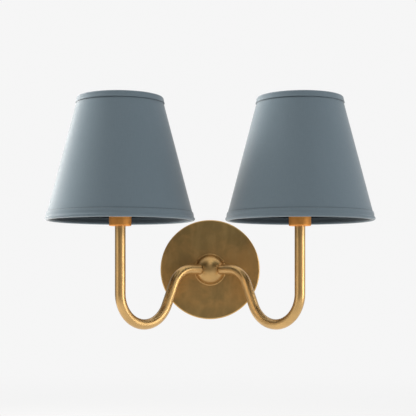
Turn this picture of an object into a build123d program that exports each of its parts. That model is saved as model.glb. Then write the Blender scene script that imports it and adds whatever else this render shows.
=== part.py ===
"""Double arm wall sconce: a round wall plate, a domed hub, two swept tube arms and two fabric shades.

The origin is on the wall, at the centre of the plate's back. +Z is up, +X is to the right as seen
from the room, and the room lies towards -Y. Every size is in millimetres.
"""

import os
from math import atan2, cos, hypot, radians, sin, sqrt, tan

from build123d import *

os.makedirs("parts", exist_ok=True)

# ---------------------------------------------------------------- driving sizes

# Clearances
fit_gap = 0.05  # radial, threads and spigots that screw or press together
run_gap = 0.08  # radial, the shade's carrier ring turning on the lampholder
free_gap = 0.3  # between pieces that turn against each other, and loose insides
glue_gap = 0.1  # between the layers of a shade
hole_gap = 0.2  # radial, a fastener in a plain hole

# Wall plate, a shallow spun pan
plate_diameter = 128.0
plate_depth = 20.0
plate_wall = 1.6
plate_edge_radius = 1.5

# Mounting bar on the wall box, its ends turned out towards the room
bar_thickness = 2.0
bar_width = 22.0
bar_tab_width = 12.0
bar_tab_reach = 15.0
slot_spacing = 79.5
slot_length = 20.0
slot_width = 4.5
supply_hole_diameter = 10.0

# Hub on the plate
hub_diameter = 39.0
hub_wall = 3.2
hub_base_diameter = 41.5
hub_base_thickness = 3.0
hub_base_edge_radius = 1.2
hub_spigot_height = 1.2
hub_spigot_width = 2.5
arm_seat_depth = 0.6  # how far the flat seat for an arm is sunk at its rim

# Arms, bent in upright planes that fan out from the hub's centre
shade_spacing = 214.0  # from one shade's axis to the other's
arm_projection = 100.0  # from the hub's centre out to the shades' axes
tube_diameter = 12.7
tube_wall = 1.3
arm_drop = 67.5  # from the hub's height down to the lowest point of the tube's axis
shoulder_radius = 30.0
bend_radius = 38.0
slope_angle = 66.0  # of the straight run between the two bends, below level

# Threaded nipples, which screw into the tube's bore, and their nuts
nipple_wall = 1.0
nipple_engagement = 9.0  # length held in a tube
nut_flats = 14.0
nut_thickness = 3.0
washer_diameter = 18.0
washer_thickness = 0.8
washer_teeth = 12
washer_tooth_depth = 1.4
nipple_stand_out = 1.0  # length left showing past a nut

# Screws
screw_diameter = 4.0
screw_head_diameter = 7.2
side_screw_length = 8.0
ground_head_flats = 8.0
ground_head_height = 3.0
small_screw_diameter = 3.0
small_head_diameter = 5.4
small_head_height = 1.8
driver_slot_width = 0.9
driver_slot_depth = 0.7

# Terminal block on the mounting bar
block_width = 20.0
block_height = 16.0
block_depth = 10.0
block_offset = 20.0  # its middle above the plate's centre
block_pole_pitch = 8.4
block_wire_bore = 4.0
block_corner_radius = 1.0

# Leads inside the arms
lead_diameter = 2.5
lead_offset = 2.2  # from the hub's axis, where both pass the nipple
lead_bend_radius = 7.0
lead_turn_radius = 5.0
lead_spread_radius = 12.0
lead_tail = 5.0  # length inside the terminal block

# Socket cup on each arm's end
cup_rise = 51.0  # the cup's underside above the hub's height
cup_diameter = 26.5
cup_height = 34.0
cup_wall = 1.0
cup_floor = 1.5
cup_edge_radius = 0.9

# Lampholder for a small screw lamp
holder_diameter = 24.0
holder_height = 47.0
holder_thread_depth = 6.0
holder_chamber_diameter = 17.0
holder_chamber_height = 12.0
holder_deck = 3.5
holder_mouth_radius = 0.8
shell_bore = 12.1
shell_wall = 0.4
shell_height = 16.0
shell_shoulder = 1.6  # height of the sloping part below the threaded wall
shell_floor_width = 2.0
contact_stem_diameter = 3.0
contact_head_diameter = 5.0
contact_head_height = 0.8

# Ring that keeps the shade's carrier down on the cup
keeper_diameter = 31.0
keeper_height = 6.0
keeper_flutes = 24
keeper_flute_radius = 0.9

# Shade, a rolled cone over wire rings
shade_rise = 5.8  # the shade's lower edge above the cup's underside
shade_height = 147.2
shade_bottom_diameter = 177.2  # of the fabric's cone, carried on to the shade's lower edge
shade_top_diameter = 99.8  # of the fabric's cone, carried on to the shade's upper edge
cover_thickness = 0.5
liner_thickness = 0.8
trim_thickness = 0.6
trim_edge_thickness = 0.4
trim_bulge = 1.2  # how far a trim's bead stands out from the cone
top_trim_width = 7.6
bottom_trim_width = 10.4
trim_turn_in = 6.0  # the trim's width on the inside
ring_wire_diameter = 2.0

# Shade carrier: a pressed ring with wire spokes to the lower wire ring
carrier_diameter = 35.0
carrier_thickness = 1.5
spoke_diameter = 2.2
spoke_count = 3

# ---------------------------------------------------------------- derived places and sizes

sides = {"left": -1, "right": 1}

hub_y = -(plate_depth + hub_base_thickness)  # the dome's centre, on the front of its base
shade_x = shade_spacing / 2
shade_y = hub_y - arm_projection
arm_angle = atan2(arm_projection, shade_x)
arm_reach = hypot(shade_x, arm_projection)

plate_radius = plate_diameter / 2
plate_inside_radius = plate_radius - plate_wall
tube_radius = tube_diameter / 2
tube_bore_radius = tube_radius - tube_wall
nipple_radius = tube_bore_radius - fit_gap
nipple_bore_radius = nipple_radius - nipple_wall

hub_radius = hub_diameter / 2
hub_inside_radius = hub_radius - hub_wall
seat_radius = tube_radius + free_gap
arm_seat = sqrt(hub_radius**2 - seat_radius**2) - arm_seat_depth
nut_corner_radius = nut_flats / 2 / cos(radians(30))
arm_nut_outer = sqrt((hub_inside_radius - glue_gap) ** 2 - nut_corner_radius**2)
arm_nut_inner = arm_nut_outer - nut_thickness

cup_bottom = cup_rise
cup_top = cup_bottom + cup_height
cup_radius = cup_diameter / 2
holder_radius = holder_diameter / 2
holder_bottom = cup_bottom + cup_floor + free_gap
holder_top = holder_bottom + holder_height
deck_bottom = holder_bottom + holder_thread_depth + holder_chamber_height
deck_top = deck_bottom + holder_deck
shell_radius = shell_bore / 2
shell_outside_radius = shell_radius + shell_wall

carrier_bottom = cup_top + free_gap
carrier_top = carrier_bottom + carrier_thickness
keeper_bottom = carrier_top + free_gap

shade_bottom = cup_bottom + shade_rise
shade_top = shade_bottom + shade_height
cone_slope = (shade_bottom_diameter - shade_top_diameter) / 2 / shade_height
laminate = cover_thickness + glue_gap + liner_thickness
wire_radius = ring_wire_diameter / 2
bead_inside = (trim_bulge - trim_thickness + laminate + 2 * glue_gap + ring_wire_diameter) / 2
bead_radius = bead_inside + trim_thickness


def cone_radius(height):
    """Outer radius of the fabric's cone at a height."""
    return shade_bottom_diameter / 2 - cone_slope * (height - shade_bottom)


def hub_plane(depth):
    """Plane across the hub's axis, its distance from the wall given, facing the room."""
    return Plane(origin=(0, -depth, 0), x_dir=(1, 0, 0), z_dir=(0, -1, 0))


def arm_plane(side):
    """Upright plane of one arm: x runs out from the dome's centre along the arm, y is up."""
    outward = Vector(side * cos(arm_angle), -sin(arm_angle), 0)
    return Plane(origin=(0, hub_y, 0), x_dir=outward, z_dir=outward.cross(Vector(0, 0, 1)))


def shade_plane(side):
    """Upright plane through one shade's axis: x is the radius, y is up."""
    return Plane(origin=(side * shade_x, shade_y, 0), x_dir=(1, 0, 0), z_dir=(0, -1, 0))


def shade_axis(side):
    """Upright axis of one shade, its lampholder and its cup."""
    return Axis((side * shade_x, shade_y, 0), (0, 0, 1))


def across_arm(side, distance):
    """Plane square across an arm's root, its distance from the dome's centre given."""
    plane = arm_plane(side)
    return Plane(origin=plane.from_local_coords((distance, 0)), z_dir=plane.x_dir)


def across_shade(side, height):
    """Level plane on one shade's axis."""
    return Plane(origin=(side * shade_x, shade_y, height))


# ---------------------------------------------------------------- wall plate

hub_axis = Axis((0, 0, 0), (0, -1, 0))
side_screw_y = -plate_depth / 2
head_radius = screw_head_diameter / 2
screw_radius = screw_diameter / 2

with BuildPart() as backplate:
    with BuildSketch(Plane.XY):
        with BuildLine():
            Polyline(
                (nipple_radius + hole_gap, -plate_depth),
                (plate_radius, -plate_depth),
                (plate_radius, 0),
                (plate_inside_radius, 0),
                (plate_inside_radius, -plate_depth + plate_wall),
                (nipple_radius + hole_gap, -plate_depth + plate_wall),
                close=True,
            )
        make_face()
    revolve(axis=hub_axis)
    front_edges = backplate.edges().filter_by(GeomType.CIRCLE).group_by(Axis.Y)[0]
    fillet(front_edges.sort_by(SortBy.RADIUS)[-1:], plate_edge_radius)
    for end in (-1, 1):
        with Locations(Plane(origin=(0, side_screw_y, end * plate_radius), z_dir=(0, 0, end))):
            CounterSinkHole(
                radius=screw_radius + hole_gap,
                counter_sink_radius=head_radius + hole_gap,
                depth=2 * plate_wall,
            )
backplate.part.label = "backplate"
export_step(backplate.part, "parts/backplate.step")

# ---------------------------------------------------------------- mounting bar

# The tabs' corners stay clear of the round pan.
tab_outside = sqrt((plate_inside_radius - free_gap) ** 2 - (bar_tab_width / 2) ** 2)
bar_half_length = tab_outside
ground_screw_z = -block_offset

with BuildPart() as mounting_bar:
    with BuildSketch(Plane.YZ):
        with BuildLine():
            Polyline(
                (0, -bar_half_length),
                (0, bar_half_length),
                (-bar_tab_reach, bar_half_length),
                (-bar_tab_reach, bar_half_length - bar_thickness),
                (-bar_thickness, bar_half_length - bar_thickness),
                (-bar_thickness, -bar_half_length + bar_thickness),
                (-bar_tab_reach, -bar_half_length + bar_thickness),
                (-bar_tab_reach, -bar_half_length),
                close=True,
            )
        make_face()
    extrude(amount=bar_width / 2, both=True)
    # Narrower towards its turned ends, so that it drops into the round pan
    neck_start = slot_spacing / 2 + slot_length / 2 + bar_thickness
    shoulder = (bar_width - bar_tab_width) / 2
    for end in (-1, 1):
        for flank in (-1, 1):
            with BuildSketch(Plane.XZ.offset(-bar_thickness)):
                with BuildLine():
                    Polyline(
                        (flank * bar_width / 2, end * neck_start),
                        (flank * bar_width, end * neck_start),
                        (flank * bar_width, end * plate_radius),
                        (flank * bar_tab_width / 2, end * plate_radius),
                        (flank * bar_tab_width / 2, end * (neck_start + shoulder)),
                        close=True,
                    )
                make_face()
            extrude(amount=2 * bar_tab_reach, both=True, mode=Mode.SUBTRACT)
    with BuildSketch(Plane.XZ):
        Circle(supply_hole_diameter / 2)
        with Locations((0, slot_spacing / 2), (0, -slot_spacing / 2)):
            SlotOverall(slot_length, slot_width, rotation=90)
        with Locations((0, block_offset)):
            Circle(small_screw_diameter / 2 + fit_gap)
        with Locations((0, ground_screw_z)):
            Circle(screw_radius + fit_gap)
    extrude(amount=2 * bar_thickness, both=True, mode=Mode.SUBTRACT)
    with BuildSketch(Plane.XY):
        with Locations((0, side_screw_y)):
            Circle(screw_radius + fit_gap)
    extrude(amount=plate_radius, both=True, mode=Mode.SUBTRACT)
mounting_bar.part.label = "mounting_bar"
export_step(mounting_bar.part, "parts/mounting_bar.step")

# ---------------------------------------------------------------- hub

with BuildPart() as hub_dome:
    with BuildSketch(Plane.XY):
        with Locations((0, hub_y)):
            Circle(hub_radius)
            Circle(hub_inside_radius, mode=Mode.SUBTRACT)
            with Locations((-hub_radius, 0), (hub_radius / 2, hub_radius)):
                Rectangle(2 * hub_radius, 2 * hub_radius, mode=Mode.SUBTRACT)
    revolve(axis=hub_axis)
    for side in sides.values():
        with BuildSketch(across_arm(side, arm_seat)):
            Circle(seat_radius)
        extrude(amount=hub_radius, mode=Mode.SUBTRACT)
        with BuildSketch(across_arm(side, 0)):
            Circle(nipple_radius + fit_gap)
        extrude(amount=hub_radius, mode=Mode.SUBTRACT)
hub_dome.part.label = "hub_dome"
export_step(hub_dome.part, "parts/hub_dome.step")

with BuildPart() as hub_base:
    with BuildSketch(hub_plane(plate_depth)):
        Circle(hub_base_diameter / 2)
        Circle(nipple_radius + fit_gap, mode=Mode.SUBTRACT)
    extrude(amount=hub_base_thickness)
    rim = hub_base.edges().filter_by(GeomType.CIRCLE).group_by(Axis.Y)[0].sort_by(SortBy.RADIUS)
    fillet(rim[-1:], hub_base_edge_radius)
    with BuildSketch(hub_plane(-hub_y)):
        Circle(hub_inside_radius - fit_gap)
        Circle(hub_inside_radius - fit_gap - hub_spigot_width, mode=Mode.SUBTRACT)
    extrude(amount=hub_spigot_height)
hub_base.part.label = "hub_base"
export_step(hub_base.part, "parts/hub_base.step")

with BuildPart() as hub_nipple:
    with BuildSketch(hub_plane(-hub_y)):
        Circle(nipple_radius)
        Circle(nipple_bore_radius, mode=Mode.SUBTRACT)
    stack = hub_base_thickness + plate_wall + washer_thickness + nut_thickness + nipple_stand_out
    extrude(amount=-stack)
hub_nipple.part.label = "hub_nipple"
export_step(hub_nipple.part, "parts/hub_nipple.step")

washer_front = plate_depth - plate_wall
with BuildPart() as hub_lock_washer:
    with BuildSketch(hub_plane(washer_front)):
        Circle(washer_diameter / 2)
        Circle(nipple_radius + hole_gap, mode=Mode.SUBTRACT)
        with PolarLocations(washer_diameter / 2, washer_teeth):
            Rectangle(2 * washer_tooth_depth, washer_tooth_depth, mode=Mode.SUBTRACT)
    extrude(amount=-washer_thickness)
hub_lock_washer.part.label = "hub_lock_washer"
export_step(hub_lock_washer.part, "parts/hub_lock_washer.step")

with BuildPart() as hub_lock_nut:
    with BuildSketch(hub_plane(washer_front - washer_thickness)):
        RegularPolygon(nut_flats / 2, 6, major_radius=False)
        Circle(nipple_radius + fit_gap, mode=Mode.SUBTRACT)
    extrude(amount=-nut_thickness)
hub_lock_nut.part.label = "hub_lock_nut"
export_step(hub_lock_nut.part, "parts/hub_lock_nut.step")

# ---------------------------------------------------------------- arms

slope = radians(slope_angle)
bends = shoulder_radius + bend_radius
slope_length = (arm_drop - bends * (1 - cos(slope))) / sin(slope)
shoulder_start = arm_reach - bend_radius - bends * sin(slope) - slope_length * cos(slope)


def arm_line(side, start, top):
    """The axis of one arm: out from the hub, over the shoulder, down, round the bend and up."""
    with BuildLine(arm_plane(side)) as axis_line:
        root = Line((start, 0), (shoulder_start, 0))
        over = JernArc(root @ 1, root % 1, shoulder_radius, -slope_angle)
        down = PolarLine(over @ 1, slope_length, direction=over % 1)
        around = JernArc(down @ 1, down % 1, bend_radius, slope_angle + 90)
        PolarLine(around @ 1, top - (around @ 1).Z, direction=around % 1)
    return axis_line.line


for name, side in sides.items():
    with BuildPart() as arm:
        with BuildSketch(across_arm(side, arm_seat)):
            Circle(tube_radius)
            Circle(tube_bore_radius, mode=Mode.SUBTRACT)
        sweep(path=arm_line(side, arm_seat, cup_bottom))
    arm.part.label = f"{name}_arm"
    export_step(arm.part, f"parts/{name}_arm.step")

with BuildPart() as arm_nipples:
    for side in sides.values():
        with BuildSketch(across_arm(side, arm_nut_inner - nipple_stand_out)):
            Circle(nipple_radius)
            Circle(nipple_bore_radius, mode=Mode.SUBTRACT)
        extrude(amount=arm_seat + nipple_engagement - arm_nut_inner + nipple_stand_out)
arm_nipples.part.label = "arm_nipples"
export_step(arm_nipples.part, "parts/arm_nipples.step")

with BuildPart() as arm_nuts:
    for side in sides.values():
        with BuildSketch(across_arm(side, arm_nut_inner)):
            RegularPolygon(nut_flats / 2, 6, major_radius=False)
            Circle(nipple_radius + fit_gap, mode=Mode.SUBTRACT)
        extrude(amount=nut_thickness)
arm_nuts.part.label = "arm_nuts"
export_step(arm_nuts.part, "parts/arm_nuts.step")

# ---------------------------------------------------------------- terminal block and screws

block_front = bar_thickness + block_depth
block_middle = bar_thickness + block_depth / 2
wire_depth = block_middle
pole_x = block_pole_pitch / 2
block_bottom = block_offset - block_height / 2
clamp_rise = block_height / 4

with BuildPart() as terminal_block:
    with BuildSketch(hub_plane(bar_thickness)):
        with Locations((0, block_offset)):
            RectangleRounded(block_width, block_height, block_corner_radius)
    extrude(amount=block_depth)
    with BuildSketch(Plane.XY.offset(block_bottom)):
        with Locations((-pole_x, -wire_depth), (pole_x, -wire_depth)):
            Circle(block_wire_bore / 2)
    extrude(amount=block_height, mode=Mode.SUBTRACT)
    with BuildSketch(hub_plane(block_front)):
        with Locations((0, block_offset)):
            with GridLocations(block_pole_pitch, 2 * clamp_rise, 2, 2):
                Circle(small_head_diameter / 2 + hole_gap / 2)
    extrude(amount=-small_head_height, mode=Mode.SUBTRACT)
    with BuildSketch(hub_plane(block_front)):
        with Locations((0, block_offset)):
            with GridLocations(block_pole_pitch, 2 * clamp_rise, 2, 2):
                Circle(small_screw_diameter / 2 + fit_gap)
    extrude(amount=-block_depth / 2, mode=Mode.SUBTRACT)
    with BuildSketch(hub_plane(block_front)):
        with Locations((0, block_offset)):
            Circle(small_screw_diameter / 2 + fit_gap)
    extrude(amount=-block_depth, mode=Mode.SUBTRACT)
terminal_block.part.label = "terminal_block"
export_step(terminal_block.part, "parts/terminal_block.step")

# Each clamping screw ends just clear of the wire under it.
clamp_length = block_depth / 2 - lead_diameter / 2 - free_gap
with BuildPart() as terminal_screws:
    with BuildSketch(hub_plane(block_front)):
        with Locations((0, block_offset)):
            with GridLocations(block_pole_pitch, 2 * clamp_rise, 2, 2):
                Circle(small_head_diameter / 2)
    extrude(amount=-small_head_height)
    with BuildSketch(hub_plane(block_front)):
        with Locations((0, block_offset)):
            with GridLocations(block_pole_pitch, 2 * clamp_rise, 2, 2):
                Circle(small_screw_diameter / 2)
    extrude(amount=-clamp_length)
    with BuildSketch(hub_plane(block_front)):
        with Locations((0, block_offset)):
            with GridLocations(block_pole_pitch, 2 * clamp_rise, 2, 2):
                Rectangle(small_head_diameter, driver_slot_width)
    extrude(amount=-driver_slot_depth, mode=Mode.SUBTRACT)
terminal_screws.part.label = "terminal_screws"
export_step(terminal_screws.part, "parts/terminal_screws.step")

with BuildPart() as block_screw:
    with BuildSketch(hub_plane(block_front)):
        with Locations((0, block_offset)):
            Circle(small_head_diameter / 2)
    extrude(amount=small_head_height)
    with BuildSketch(hub_plane(block_front)):
        with Locations((0, block_offset)):
            Circle(small_screw_diameter / 2)
    extrude(amount=-block_depth - bar_thickness)
    with BuildSketch(hub_plane(block_front + small_head_height)):
        with Locations((0, block_offset)):
            Rectangle(small_head_diameter, driver_slot_width)
    extrude(amount=-driver_slot_depth, mode=Mode.SUBTRACT)
block_screw.part.label = "block_screw"
export_step(block_screw.part, "parts/block_screw.step")

with BuildPart() as ground_screw:
    with BuildSketch(hub_plane(bar_thickness)):
        with Locations((0, ground_screw_z)):
            RegularPolygon(ground_head_flats / 2, 6, major_radius=False)
    extrude(amount=ground_head_height)
    with BuildSketch(hub_plane(bar_thickness)):
        with Locations((0, ground_screw_z)):
            Circle(screw_radius)
    extrude(amount=-bar_thickness)
    with BuildSketch(hub_plane(bar_thickness + ground_head_height)):
        with Locations((0, ground_screw_z)):
            Rectangle(2 * ground_head_flats, driver_slot_width)
    extrude(amount=-driver_slot_depth, mode=Mode.SUBTRACT)
ground_screw.part.label = "ground_screw"
export_step(ground_screw.part, "parts/ground_screw.step")

with BuildPart() as side_screws:
    for end in (-1, 1):
        outward = Plane(origin=(0, side_screw_y, end * plate_radius), z_dir=(0, 0, end))
        with BuildSketch(outward):
            Circle(screw_radius)
        extrude(amount=-side_screw_length)
        with BuildSketch(outward):
            Circle(head_radius)
        extrude(amount=-(head_radius - screw_radius), taper=45)
        with BuildSketch(outward):
            Rectangle(screw_head_diameter, driver_slot_width)
        extrude(amount=-driver_slot_depth, mode=Mode.SUBTRACT)
side_screws.part.label = "side_screws"
export_step(side_screws.part, "parts/side_screws.step")

# ---------------------------------------------------------------- leads inside the arms

lead_radius = lead_diameter / 2
lead_turn = radians(90) - arm_angle  # from the arm's direction to the hub's axis
lead_corner = lead_offset / cos(arm_angle)  # out from the dome's centre along the arm
lead_line_start = lead_corner + 2 * lead_bend_radius * tan(lead_turn / 2)
lead_rise_y = -wire_depth

for name, side in sides.items():
    with BuildLine() as lead_line:
        add(arm_line(side, lead_line_start, deck_bottom))
        FilletPolyline(
            arm_plane(side).from_local_coords((lead_line_start, 0)),
            arm_plane(side).from_local_coords((lead_corner, 0)),
            (side * lead_offset, lead_rise_y, 0),
            (side * pole_x, lead_rise_y, block_bottom),
            (side * pole_x, lead_rise_y, block_bottom + lead_tail),
            radius=[lead_bend_radius, lead_turn_radius, lead_spread_radius],
        )
    with BuildPart() as lead:
        end_face = Plane(origin=(side * pole_x, lead_rise_y, block_bottom + lead_tail))
        with BuildSketch(end_face):
            Circle(lead_radius)
        sweep(path=lead_line.wire())
    lead.part.label = f"{name}_lead"
    export_step(lead.part, f"parts/{name}_lead.step")
    print(f"{name} lead: {lead_line.wire().length:.1f} mm long")

# ---------------------------------------------------------------- cups and lampholders

for name, side in sides.items():
    with BuildPart() as socket_cup:
        with BuildSketch(across_shade(side, cup_bottom)):
            Circle(cup_radius)
        extrude(amount=cup_height)
        fillet(socket_cup.edges().group_by(Axis.Z)[0], cup_edge_radius)
        with BuildSketch(across_shade(side, cup_bottom + cup_floor)):
            Circle(cup_radius - cup_wall)
        extrude(amount=cup_height, mode=Mode.SUBTRACT)
        with BuildSketch(across_shade(side, cup_bottom)):
            Circle(nipple_radius + fit_gap)
        extrude(amount=cup_height, mode=Mode.SUBTRACT)
    socket_cup.part.label = f"{name}_socket_cup"
    export_step(socket_cup.part, f"parts/{name}_socket_cup.step")

    with BuildPart() as lampholder:
        with BuildSketch(across_shade(side, holder_bottom)):
            Circle(holder_radius)
        extrude(amount=holder_height)
        with BuildSketch(across_shade(side, holder_bottom)):
            Circle(nipple_radius + fit_gap)
        extrude(amount=holder_thread_depth, mode=Mode.SUBTRACT)
        with BuildSketch(across_shade(side, holder_bottom + holder_thread_depth)):
            Circle(holder_chamber_diameter / 2)
        extrude(amount=holder_chamber_height, mode=Mode.SUBTRACT)
        with BuildSketch(across_shade(side, deck_bottom)):
            Circle(contact_stem_diameter / 2 + fit_gap)
        extrude(amount=holder_deck, mode=Mode.SUBTRACT)
        with BuildSketch(across_shade(side, deck_top)):
            Circle(shell_outside_radius + fit_gap)
        extrude(amount=holder_height, mode=Mode.SUBTRACT)
        fillet(lampholder.edges().group_by(Axis.Z)[-1], holder_mouth_radius)
    lampholder.part.label = f"{name}_lampholder"
    export_step(lampholder.part, f"parts/{name}_lampholder.step")

    # Pressed from thin sheet: a threaded wall over a sloping shoulder and a ring-shaped floor
    with BuildPart() as screw_shell:
        with BuildSketch(shade_plane(side)):
            with BuildLine():
                Polyline(
                    (shell_radius - shell_floor_width, deck_top),
                    (shell_outside_radius - shell_shoulder, deck_top),
                    (shell_outside_radius, deck_top + shell_shoulder),
                    (shell_outside_radius, deck_top + shell_height),
                    (shell_radius, deck_top + shell_height),
                    (shell_radius, deck_top + shell_shoulder),
                    (shell_radius - shell_shoulder + shell_wall, deck_top + shell_wall),
                    (shell_radius - shell_floor_width, deck_top + shell_wall),
                    close=True,
                )
            make_face()
        revolve(axis=shade_axis(side))
    screw_shell.part.label = f"{name}_screw_shell"
    export_step(screw_shell.part, f"parts/{name}_screw_shell.step")

    with BuildPart() as centre_contact:
        with BuildSketch(across_shade(side, deck_top)):
            Circle(contact_head_diameter / 2)
        extrude(amount=contact_head_height)
        fillet(centre_contact.edges().group_by(Axis.Z)[-1], contact_head_height / 2)
        with BuildSketch(across_shade(side, deck_top)):
            Circle(contact_stem_diameter / 2)
        extrude(amount=-holder_deck)
    centre_contact.part.label = f"{name}_centre_contact"
    export_step(centre_contact.part, f"parts/{name}_centre_contact.step")

    with BuildPart() as shade_keeper:
        with BuildSketch(across_shade(side, keeper_bottom)):
            Circle(keeper_diameter / 2)
            with PolarLocations(keeper_diameter / 2, keeper_flutes):
                Circle(keeper_flute_radius, mode=Mode.SUBTRACT)
            Circle(holder_radius + fit_gap, mode=Mode.SUBTRACT)
        extrude(amount=keeper_height)
    shade_keeper.part.label = f"{name}_shade_keeper"
    export_step(shade_keeper.part, f"parts/{name}_shade_keeper.step")

with BuildPart() as cup_nipples:
    for side in sides.values():
        with BuildSketch(across_shade(side, cup_bottom - nipple_engagement)):
            Circle(nipple_radius)
            Circle(nipple_bore_radius, mode=Mode.SUBTRACT)
        extrude(amount=nipple_engagement + cup_floor + free_gap + holder_thread_depth)
cup_nipples.part.label = "cup_nipples"
export_step(cup_nipples.part, "parts/cup_nipples.step")

# ---------------------------------------------------------------- shades


def wire_height(end):
    """Height of a wire ring's middle and of the fabric's edge: end is -1 below and 1 above."""
    edge = shade_bottom if end < 0 else shade_top
    return edge - end * bead_radius


def wire_ring_radius(end):
    """Radius of a wire ring's middle, just inside the rolled cone."""
    return cone_radius(wire_height(end)) - laminate - glue_gap - wire_radius


def cone_shell(side, outer_offset, thickness):
    """Rolled conical sheet between the two wire rings' heights, its depth inside the cone given."""
    low = wire_height(-1)
    high = wire_height(1)
    low_radius = cone_radius(low) - outer_offset
    high_radius = cone_radius(high) - outer_offset
    with BuildPart() as shell:
        with BuildSketch(shade_plane(side)):
            with BuildLine():
                Polyline(
                    (low_radius - thickness, low),
                    (low_radius, low),
                    (high_radius, high),
                    (high_radius - thickness, high),
                    close=True,
                )
            make_face()
        revolve(axis=shade_axis(side))
    return shell.part


def trim_band(side, end, width):
    """Fabric band folded over a wire ring and the cone's edge, its inner leg turned in."""
    middle = wire_height(end)
    edge = middle + end * bead_radius
    free_height = edge - end * width
    inner_height = edge - end * trim_turn_in
    bead_outer = cone_radius(middle) + trim_bulge
    bead_middle = bead_outer - bead_radius
    free_radius = cone_radius(free_height) + glue_gap
    inner_shift = cone_radius(inner_height) - cone_radius(middle)
    inner_radius = bead_middle - bead_radius + inner_shift
    with BuildPart() as band:
        with BuildSketch(shade_plane(side)):
            with BuildLine():
                Line((free_radius + trim_edge_thickness, free_height), (bead_outer, middle))
                ThreePointArc(
                    (bead_outer, middle),
                    (bead_middle, edge),
                    (bead_middle - bead_radius, middle),
                )
                Polyline(
                    (bead_middle - bead_radius, middle),
                    (inner_radius, inner_height),
                    (inner_radius + trim_thickness, inner_height),
                    (bead_middle - bead_inside, middle),
                )
                ThreePointArc(
                    (bead_middle - bead_inside, middle),
                    (bead_middle, middle + end * bead_inside),
                    (bead_middle + bead_inside, middle),
                )
                Polyline(
                    (bead_middle + bead_inside, middle),
                    (free_radius, free_height),
                    (free_radius + trim_edge_thickness, free_height),
                )
            make_face()
        revolve(axis=shade_axis(side))
    return band.part


def spoke_ends(side, index):
    """Where one spoke leaves the lower wire ring and where it meets the pressed ring."""
    heading = radians(90 + index * 360 / spoke_count)
    outward = Vector(cos(heading), sin(heading), 0)
    centre = Vector(side * shade_x, shade_y, 0)
    foot = centre + outward * wire_ring_radius(-1) + Vector(0, 0, wire_height(-1))
    head_radius = carrier_diameter / 2 - spoke_diameter / 2
    head = centre + outward * head_radius + Vector(0, 0, carrier_bottom + carrier_thickness / 2)
    return foot, head


def spokes(side, radius):
    """The round spokes of one shade, as bare rods of a radius."""
    with BuildPart() as rods:
        for index in range(spoke_count):
            foot, head = spoke_ends(side, index)
            with BuildSketch(Plane(origin=foot, z_dir=head - foot)):
                Circle(radius)
            extrude(amount=(head - foot).length)
    return rods.part


for name, side in sides.items():
    shade_cover = cone_shell(side, 0, cover_thickness)
    shade_cover.label = f"{name}_shade_cover"
    export_step(shade_cover, f"parts/{name}_shade_cover.step")

    shade_liner = cone_shell(side, cover_thickness + glue_gap, liner_thickness)
    shade_liner.label = f"{name}_shade_liner"
    export_step(shade_liner, f"parts/{name}_shade_liner.step")

    top_trim = trim_band(side, 1, top_trim_width)
    top_trim.label = f"{name}_shade_top_trim"
    export_step(top_trim, f"parts/{name}_shade_top_trim.step")

    with BuildPart() as bottom_trim:
        add(trim_band(side, -1, bottom_trim_width))
        # Notched where the spokes pass through its inner leg
        add(spokes(side, spoke_diameter / 2 + hole_gap), mode=Mode.SUBTRACT)
    bottom_trim.part.label = f"{name}_shade_bottom_trim"
    export_step(bottom_trim.part, f"parts/{name}_shade_bottom_trim.step")

    with BuildPart() as top_ring:
        with BuildSketch(shade_plane(side)):
            with Locations((wire_ring_radius(1), wire_height(1))):
                Circle(wire_radius)
        revolve(axis=shade_axis(side))
    top_ring.part.label = f"{name}_shade_top_ring"
    export_step(top_ring.part, f"parts/{name}_shade_top_ring.step")

    with BuildPart() as shade_carrier:
        with BuildSketch(shade_plane(side)):
            with Locations((wire_ring_radius(-1), wire_height(-1))):
                Circle(wire_radius)
        revolve(axis=shade_axis(side))
        with BuildSketch(across_shade(side, carrier_bottom)):
            Circle(carrier_diameter / 2)
        extrude(amount=carrier_thickness)
        add(spokes(side, spoke_diameter / 2))
        with BuildSketch(across_shade(side, carrier_bottom - carrier_diameter)):
            Circle(holder_radius + run_gap)
        extrude(amount=2 * carrier_diameter, mode=Mode.SUBTRACT)
    shade_carrier.part.label = f"{name}_shade_carrier"
    export_step(shade_carrier.part, f"parts/{name}_shade_carrier.step")
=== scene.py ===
"""Double arm wall sconce: antique brass, two rolled fabric shades and what they hold.

Every length is in metres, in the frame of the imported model: the wall is the plane Y = 0, the room
lies towards -Y and +Z is up.
"""

from math import cos, hypot, pi, radians, sin

import bpy
from bpy.props import FloatProperty, FloatVectorProperty, IntProperty, PointerProperty
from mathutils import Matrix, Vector


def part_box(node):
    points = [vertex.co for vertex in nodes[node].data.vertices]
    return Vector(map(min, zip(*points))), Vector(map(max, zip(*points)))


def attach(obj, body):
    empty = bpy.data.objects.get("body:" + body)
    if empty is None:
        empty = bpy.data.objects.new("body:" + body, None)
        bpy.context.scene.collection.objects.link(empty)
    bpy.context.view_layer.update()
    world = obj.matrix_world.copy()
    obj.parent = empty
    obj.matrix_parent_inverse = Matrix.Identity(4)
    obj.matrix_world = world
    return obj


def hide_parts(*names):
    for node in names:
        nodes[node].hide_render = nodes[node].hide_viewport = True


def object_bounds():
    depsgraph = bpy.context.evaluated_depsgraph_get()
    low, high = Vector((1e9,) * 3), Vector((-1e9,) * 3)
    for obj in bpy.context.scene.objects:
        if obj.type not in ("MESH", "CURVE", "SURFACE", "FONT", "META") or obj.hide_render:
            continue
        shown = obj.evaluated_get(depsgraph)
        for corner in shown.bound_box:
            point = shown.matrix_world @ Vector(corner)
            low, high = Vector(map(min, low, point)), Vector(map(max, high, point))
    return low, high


bl_info = {
    "name": "Double arm wall sconce",
    "version": (1, 0, 0),
    "blender": (4, 5, 0),
    "location": "3D View > Sidebar > Sconce",
    "description": "Dresses a double arm wall sconce in brass and fabric",
    "category": "Object",
}

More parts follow.
